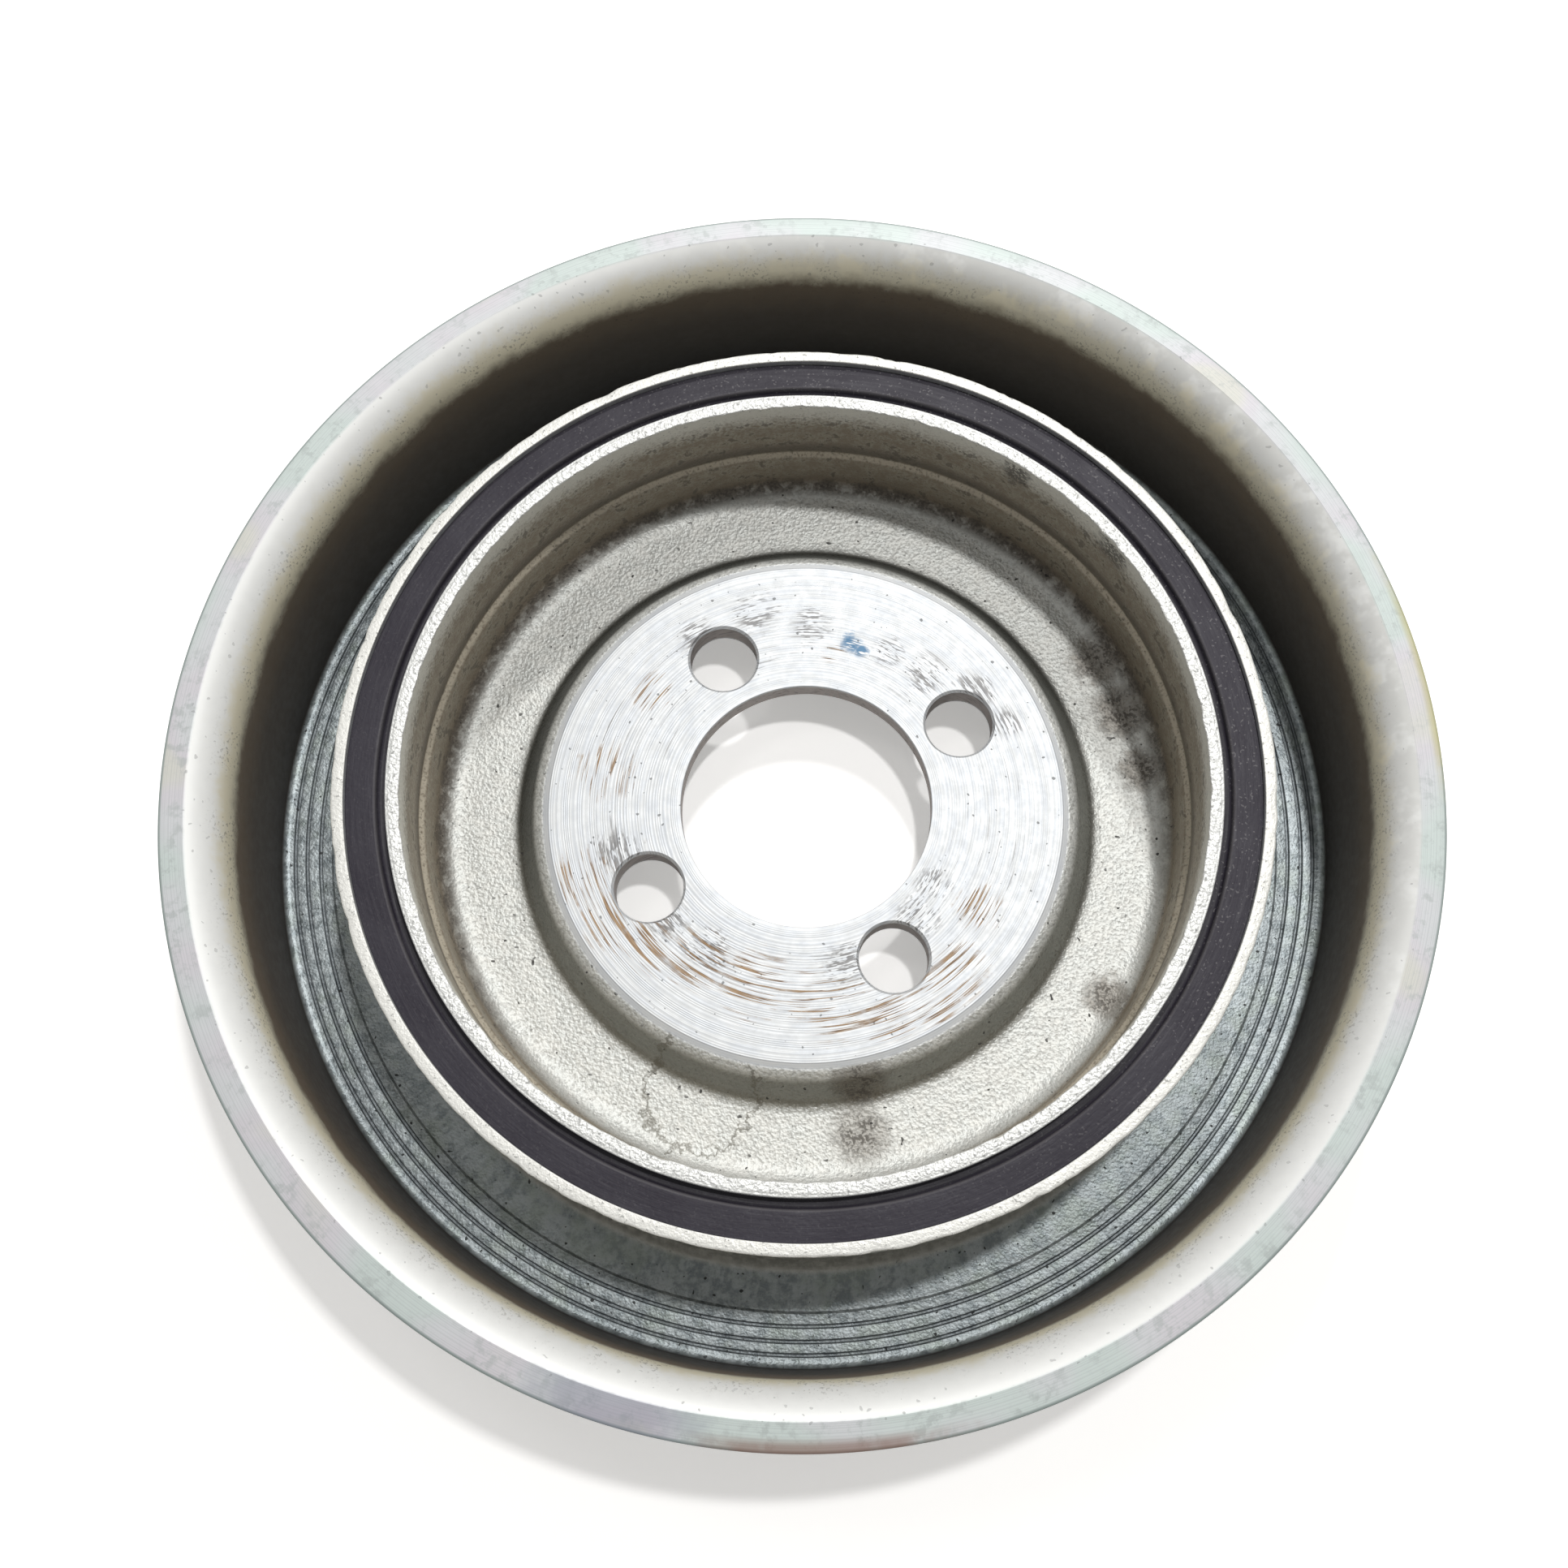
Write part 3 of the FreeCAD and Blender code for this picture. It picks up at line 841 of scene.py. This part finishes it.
RIM_ZINC = (0.62, 0.64, 0.64, 1)
DULL_ZINC = (0.54, 0.55, 0.53, 1)
FLOOR_SLATE = (0.23, 0.26, 0.27, 1)
FLOOR_BLUE = (0.44, 0.48, 0.49, 1)
FLOOR_GREEN = (0.33, 0.38, 0.31, 1)
RING_SHADE = (0.10, 0.11, 0.12, 1)
DRUM_SHADE_BLACK = (0.034, 0.029, 0.025, 1)
DRUM_BROWN = (0.084, 0.068, 0.054, 1)
DRUM_TAN = (0.185, 0.140, 0.098, 1)
DRUM_CREAM = (0.86, 0.80, 0.62, 1)
FLARE_WHITE = (0.94, 0.94, 0.91, 1)
BROWN_SPOT = (0.12, 0.09, 0.06, 1)
GREY_PATCH_AND_SHADE = (0.50, 0.49, 0.45, 1)
FACE_GREEN = (0.76, 0.84, 0.80, 1)
FACE_WHITE = (0.82, 0.83, 0.84, 1)
FACE_VIOLET = (0.83, 0.80, 0.83, 1)
FACE_CREAM = (0.83, 0.82, 0.75, 1)
FACE_LINES = (0.46, 0.49, 0.49, 1)
WORN_FACE = (0.50, 0.54, 0.52, 1)
FACE_EDGE = (0.36, 0.42, 0.40, 1)
EDGE_YELLOW = (0.66, 0.60, 0.26, 1)
EDGE_RUST = (0.30, 0.13, 0.085, 1)
EDGE_VIOLET = (0.32, 0.32, 0.42, 1)
COLLAR_TOP = (0.84, 0.83, 0.78, 1)
COLLAR_GREY = (0.50, 0.50, 0.46, 1)
COLLAR_PALE = (0.76, 0.76, 0.71, 1)
GROOVE_BLACK = (0.03, 0.03, 0.03, 1)
RIB_POLISH = (0.78, 0.79, 0.79, 1)
WEB_DIRT = (0.33, 0.33, 0.30, 1)
HOLE_BLACK = (0.02, 0.02, 0.02, 1)

# Stains on the rim in millimetres: x, y, reach
YELLOW_SPOT = ((72.0, 15.0, 17.0),)
RUST_SPOT = ((5.0, -73.3, 17.0),)
VIOLET_SPOT = ((-16.0, -69.5, 12.0),)


def rim_areas(tree, radius, height):
    """Where each drawn, rolled or turned surface of the rim lies, as masks."""
    floor = product(tree, band(tree, height, DRUM_FLOOR - 0.65, DRUM_FLOOR + 0.75, 0.3),
                    rise(tree, radius, COLLAR_OUTSIDE + 1.0, COLLAR_OUTSIDE + 2.0),
                    rise(tree, radius, DRUM_WALL + 1.1, DRUM_WALL + 0.5))
    above = strongest(tree, worked_out(tree, "SUBTRACT", height, 13.0), 0.0)
    inward = worked_out(tree, "MULTIPLY_ADD", above, -0.68, radius)
    drum = product(tree, rise(tree, radius, DRUM_WALL - 0.7, DRUM_WALL - 0.1),
                   rise(tree, inward, DRUM_WALL + 1.05, DRUM_WALL + 0.75),
                   rise(tree, height, DRUM_FLOOR + 0.05, DRUM_FLOOR + 0.75))
    face = product(tree, rise(tree, height, RIM_FACE - 0.94, RIM_FACE - 0.79),
                   rise(tree, radius, DRUM_WALL + 3.3, DRUM_WALL + 3.7))
    collar = product(tree, rise(tree, radius, COLLAR_OUTSIDE + 2.1, COLLAR_OUTSIDE + 0.5),
                     rise(tree, radius, COLLAR_INSIDE + 0.3, COLLAR_INSIDE + 1.1))
    end = product(tree, rise(tree, height, COLLAR_END - 0.35, COLLAR_END - 0.15),
                  rise(tree, radius, COLLAR_OUTSIDE + 1.5, COLLAR_OUTSIDE + 0.5))
    track = product(tree, rise(tree, radius, GROOVE_ROOT - 0.8, GROOVE_ROOT - 0.2),
                    rise(tree, height, TRACK_REAR + 0.81, TRACK_REAR + 0.01),
                    rise(tree, height, TRACK_FRONT - 1.15, TRACK_FRONT - 0.15))
    return floor, drum, face, collar, end, track


def shaded_and_stained_drum(tree, here, medium, small, grain):
    """Drum wall tones by height, patches and side: painted shade low down and at the back."""
    height = here["Height"]
    # The ramp runs from painted shade at the foot and on the back wall, through brown stain, to
    # pale zinc at the mouth
    to_front = facing(tree, here, -0.17, -0.98)
    shade_and_stain = worked_out(
        tree, "MULTIPLY_ADD", worked_out(tree, "SUBTRACT", medium, 0.5), 2.6, height)
    shade_and_stain = worked_out(tree, "MULTIPLY_ADD", to_front, 1.1, shade_and_stain)
    shade_and_stain = worked_out(
        tree, "MULTIPLY_ADD", small, 1.4, worked_out(tree, "SUBTRACT", shade_and_stain, 0.7))
    drum_tone = DRUM_SHADE_BLACK
    for start, full, tone in (
        (-6.0, 6.0, DRUM_BROWN), (4.0, 11.5, DRUM_TAN), (10.5, 13.4, DRUM_CREAM),
        (13.8, 16.2, FLARE_WHITE),
    ):
        drum_tone = painted(tree, drum_tone, tone, rise(tree, shade_and_stain, start, full))
    spotted = product(tree, rise(tree, grain, 0.56, 0.68), rise(tree, medium, 0.42, 0.58),
                      band(tree, height, 9.5, 15.5, 1.5))
    drum_tone = painted(tree, drum_tone, BROWN_SPOT, spotted, 0.45)
    # Grey patches high on the drum's right-hand side, with painted shade there
    to_right = facing(tree, here, 0.77, 0.64)
    right_side_patches_and_shade = product(tree, rise(tree, to_right, 0.2, 0.95), rise(tree, height, 12.0, 15.0),
                    rise(tree, medium, 0.36, 0.52))
    drum_tone = painted(tree, drum_tone, GREY_PATCH_AND_SHADE, right_side_patches_and_shade, 0.32)
    return drum_tone, shade_and_stain


def turned_face_tone(tree, here, mottled, medium):
    """The tints of the turned face's chromate, with its lines, its wear and its edge."""
    lines = effect(tree, TURNED_LINES, radius=here["Radius"], pitch=0.27)["Lines"]
    tint = cloud(tree, here["Place"], 0.07, 1.0, 0.6)
    face_tone = FACE_GREEN
    for start, full, tone in (
        (0.40, 0.52, FACE_WHITE), (0.52, 0.60, FACE_VIOLET), (0.60, 0.68, FACE_CREAM),
    ):
        face_tone = painted(tree, face_tone, tone, rise(tree, tint, start, full))
    face_tone = painted(tree, face_tone, FACE_LINES, rise(tree, lines, 0.42, 0.8), 0.22)
    worn = product(tree, rise(tree, mottled, 0.46, 0.60), rise(tree, medium, 0.40, 0.62))
    face_tone = painted(tree, face_tone, WORN_FACE, worn, 0.55)
    face_tone = painted(tree, face_tone, FACE_EDGE,
                        rise(tree, here["Radius"], GUIDE_RADIUS - 0.5, GUIDE_RADIUS - 0.15))
    return face_tone


def rim_finish():
    """Zinc on drawn steel: stain and painted shade in the drum, bright flare and turned face.
    """
    material, tree, surface = finish_named("zinc_plated_rim")
    here = effect(tree, RING_PLACE)
    place, radius, height = here["Place"], here["Radius"], here["Height"]
    medium = cloud(tree, place, 0.25, 3.0, 0.62)
    small = cloud(tree, place, 0.9, 3.0, 0.66)
    grain = cloud(tree, place, 2.8, 1.0, 0.55)
    streaks = cloud(tree, here["Outwards"], 1.0, 2.0, 0.6)
    floor, drum, face, collar, end, track = rim_areas(tree, radius, height)

    # Tone of each surface: plain zinc, drum floor with its tool rings, drum wall with painted
    # shade
    colour = painted(tree, RIM_ZINC, DULL_ZINC, rise(tree, medium, 0.3, 0.7))
    mottled = worked_out(tree, "MULTIPLY_ADD", streaks, 0.30, product(tree, small, 0.70))
    floor_tone = painted(tree, FLOOR_SLATE, FLOOR_BLUE, rise(tree, mottled, 0.38, 0.60))
    floor_tone = painted(tree, floor_tone, FLOOR_GREEN, rise(tree, medium, 0.45, 0.7), 0.35)
    colour = painted(tree, colour, floor_tone, floor)
    rings = strongest(tree, *(
        band(tree, radius, ring - 0.3, ring + 0.3, 0.12) for ring in TOOL_RINGS))
    colour = painted(tree, colour, RING_SHADE, floor, rings, 0.55)
    drum_tone, shade_and_stain = shaded_and_stained_drum(tree, here, medium, small, grain)
    colour = painted(tree, colour, drum_tone, drum)

    # The turned face, with a yellow, a rusty and a violet stain near its edge
    face_tone = turned_face_tone(tree, here, mottled, medium)
    colour = painted(tree, colour, face_tone, face)
    yellow = product(tree, spots(tree, here["Flat"], medium, 0.5, YELLOW_SPOT),
                     rise(tree, radius, GUIDE_RADIUS - 1.4, GUIDE_RADIUS - 0.4), face)
    colour = painted(tree, colour, EDGE_YELLOW, yellow, 0.6)
    rusty = product(tree, spots(tree, here["Flat"], medium, 0.5, RUST_SPOT),
                    rise(tree, radius, GUIDE_RADIUS - 1.8, GUIDE_RADIUS - 0.6))
    colour = painted(tree, colour, EDGE_RUST, rusty, 0.65)
    violet = product(tree, spots(tree, here["Flat"], medium, 0.5, VIOLET_SPOT), face)
    colour = painted(tree, colour, EDGE_VIOLET, violet, 0.5)

    # The collar, the belt track with dirty grooves and polished ribs, the dirty front
    colour = painted(tree, colour, COLLAR_TOP, end)
    wall_tone = painted(tree, COLLAR_GREY, COLLAR_PALE, rise(tree, small, 0.35, 0.68))
    colour = painted(tree, colour, wall_tone, collar, rise(tree, height, 15.6, 14.6))
    groove_dirt = product(
        tree, track, rise(tree, radius, GROOVE_ROOT + 2.0, GROOVE_ROOT + 0.6))
    colour = painted(tree, colour, GROOVE_BLACK, groove_dirt, rise(tree, small, 0.2, 0.5))
    belt_polish = product(tree, track, band(tree, radius, RIB_TIPS - 0.5, RIB_TIPS + 0.4, 0.15))
    colour = painted(tree, colour, RIB_POLISH, belt_polish)
    front_dirt = product(tree, rise(tree, height, RIM_FRONT + 1.35, RIM_FRONT + 0.35),
                         rise(tree, medium, 0.45, 0.66))
    colour = painted(tree, colour, WEB_DIRT, front_dirt, 0.5)

    # Pits, and what soiling, stains and the drum's painted shade do to the metal's shine
    pits = effect(tree, BLACK_PITS, place=place, finesse=1.6, rarity=0.79)["Pits"]
    pit_area = strongest(
        tree, floor, product(tree, drum, rise(tree, height, 8.0, 11.0), 0.35))
    holes = strongest(tree, product(tree, pits, pit_area),
                      product(tree, rise(tree, grain, 0.66, 0.72), end, 0.5))
    colour = painted(tree, colour, HOLE_BLACK, holes, 0.85)
    tree.links.new(colour, surface.inputs["Base Color"])

    matt_marks = strongest(tree, holes, groove_dirt)
    bright = strongest(tree, drum, end, face, collar)
    shine = worked_out(tree, "MULTIPLY_ADD", bright, -0.45, 0.70)
    tree.links.new(worked_out(tree, "MULTIPLY_ADD", matt_marks, -0.6, shine),
                   surface.inputs["Metallic"])
    # Rougher where the drum's tone is low: painted shade and stain
    drum_shade_and_stain = product(tree, drum, rise(tree, shade_and_stain, 13.0, 9.0))
    dull = worked_out(tree, "MULTIPLY_ADD", drum_shade_and_stain, 0.12, 0.46)
    dull = worked_out(tree, "MULTIPLY_ADD", matt_marks, 0.3, dull)
    dull = worked_out(tree, "MULTIPLY_ADD", rise(tree, small, 0.3, 0.7), 0.10, dull)
    tree.links.new(dull, surface.inputs["Roughness"])
    relief(tree, surface, product(tree, strongest(tree, floor, end), grain, 0.08))
    return material


rim_metal = rim_finish()
rim_blank = swept_blank("rim", RIM_CORNERS, 2.0, RIM_SWEEP, rim_metal)
rim_mesh = worked("rim_body", rim_blank, belt_groove_tree(), {
    "Grooves": GROOVES, "Pitch": GROOVE_PITCH * MM, "First groove": FIRST_GROOVE * MM,
    "Root radius": GROOVE_ROOT * MM, "Depth": GROOVE_DEPTH * MM,
    "Overcut": GROOVE_OVERCUT * MM, "Groove angle": math.radians(GROOVE_ANGLE),
    "Root width": GROOVE_ROOT_WIDTH * MM, "Segments": SEGMENTS, "Metal": rim_metal})
rim = made_piece("drum_rim", rim_mesh)
sheared_edge(rim.data, COLLAR_OUTSIDE, COLLAR_END, width=0.9, wave=3.2, depth=0.22)
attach(rim, "root")
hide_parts("belt_rim")

# Table: the white sheet that the pulley lies on, not a piece of it.
# It only carries the pulley's shadow, and runs on past the edges of the view.
TABLE_HEIGHT = -0.00896
TABLE_HALF = 1.5
GLOW_AT_CENTRE = 0.29
GLOW_PER_METRE = 2.1
table_mesh = bpy.data.meshes.new("table")
table_mesh.from_pydata(
    [(x * TABLE_HALF, y * TABLE_HALF, TABLE_HEIGHT)
     for x, y in ((-1, -1), (1, -1), (1, 1), (-1, 1))], [], [(0, 1, 2, 3)])
table = bpy.data.objects.new("table", table_mesh)
bpy.context.scene.collection.objects.link(table)
table_white = bpy.data.materials.new("table_white")
table_white.use_nodes = True
paper = table_white.node_tree
paper_surface = paper.nodes["Principled BSDF"]
paper_surface.inputs["Base Color"].default_value = (0.9, 0.89, 0.875, 1)
paper_surface.inputs["Roughness"].default_value = 0.8
paper_surface.inputs["Emission Color"].default_value = (1, 0.985, 0.96, 1)
to_camera = place_node(paper, "ShaderNodeLightPath").outputs["Is Camera Ray"]
spot = place_node(paper, "ShaderNodeTexCoord").outputs["Object"]
away = place_node(paper, "ShaderNodeVectorMath", {0: spot}, operation="LENGTH").outputs["Value"]
glow = worked_out(paper, "MINIMUM", worked_out(
    paper, "MULTIPLY_ADD", away, GLOW_PER_METRE, GLOW_AT_CENTRE), 1.0)
paper.links.new(product(paper, to_camera, glow), paper_surface.inputs["Emission Strength"])
table_white.cycles.emission_sampling = "NONE"
table_mesh.materials.append(table_white)

# Room light: a white room with two soft lamps overhead and behind, and a weak one to the
# left. The room is brighter for reflections, so that the zinc shows it.
ROOM_LEVEL = 0.22
ROOM_REFLECTED = 0.15
LAMP_DISTANCE = 0.9
world = bpy.data.worlds.new("white_room")
bpy.context.scene.world = world
world.use_nodes = True
sky = world.node_tree
ray = place_node(sky, "ShaderNodeLightPath").outputs
plain = worked_out(sky, "MULTIPLY_ADD", ray["Is Glossy Ray"], ROOM_REFLECTED, ROOM_LEVEL)
background = sky.nodes["Background"]
background.inputs["Color"].default_value = (1, 1, 1, 1)
sky.links.new(strongest(sky, plain, ray["Is Camera Ray"], ray["Is Transmission Ray"]),
              background.inputs["Strength"])


def soft_lamp(name, direction, size, power):
    """A square lamp in the given direction from the pulley, turned towards it."""
    data = bpy.data.lights.new(name, "AREA")
    data.shape = "SQUARE"
    data.size = size
    data.energy = power
    lamp = bpy.data.objects.new(name, data)
    bpy.context.scene.collection.objects.link(lamp)
    lamp.location = Vector(direction).normalized() * LAMP_DISTANCE
    lamp.rotation_euler = lamp.location.to_track_quat("Z", "Y").to_euler()


soft_lamp("lamp_overhead", (0.18, 0.22, 1.0), size=0.05, power=3.4)
soft_lamp("lamp_behind", (0.10, 0.86, 1.0), size=0.06, power=2.7)
soft_lamp("lamp_left", (-0.33, 0.33, 1.0), size=0.16, power=0.4)

# Camera: where the photographer held it, some 20 cm above the pulley and tilted.
# The picture is square, the lens sees as wide as its focal length, and the picture's
# centre lies a little beside the lens's axis.
PICTURE_SIDE = 1932
LENS_AXIS = (1025.04, 967.04)
CAMERA_TILT = -0.297033
CAMERA_ROLL = 0.049078
BORE_AS_SEEN = (-0.0991247, 0.0742646, 6.1023873)
camera_data = bpy.data.cameras.new("camera")
camera_data.lens = 36
camera_data.sensor_width = 36
camera_data.shift_x = (PICTURE_SIDE / 2 - LENS_AXIS[0]) / PICTURE_SIDE
camera_data.shift_y = (LENS_AXIS[1] - PICTURE_SIDE / 2) / PICTURE_SIDE
camera_data.clip_start = 0.005
camera = bpy.data.objects.new("camera", camera_data)
bpy.context.scene.collection.objects.link(camera)
flip = Matrix.Diagonal((1, -1, -1))
tilt = Matrix.Rotation(CAMERA_TILT, 3, "X")
roll = Matrix(((math.cos(CAMERA_ROLL), -math.sin(CAMERA_ROLL), 0),
               (math.sin(CAMERA_ROLL), math.cos(CAMERA_ROLL), 0), (0, 0, 1)))
seen = roll @ tilt @ flip
offset = Vector(BORE_AS_SEEN) * FLANGE_EDGE * MM
turn = seen.transposed() @ flip
camera.matrix_world = Matrix.Translation(-(seen.transposed() @ offset)) @ turn.to_4x4()
bpy.context.scene.camera = camera
bpy.context.scene.view_settings.view_transform = "Standard"
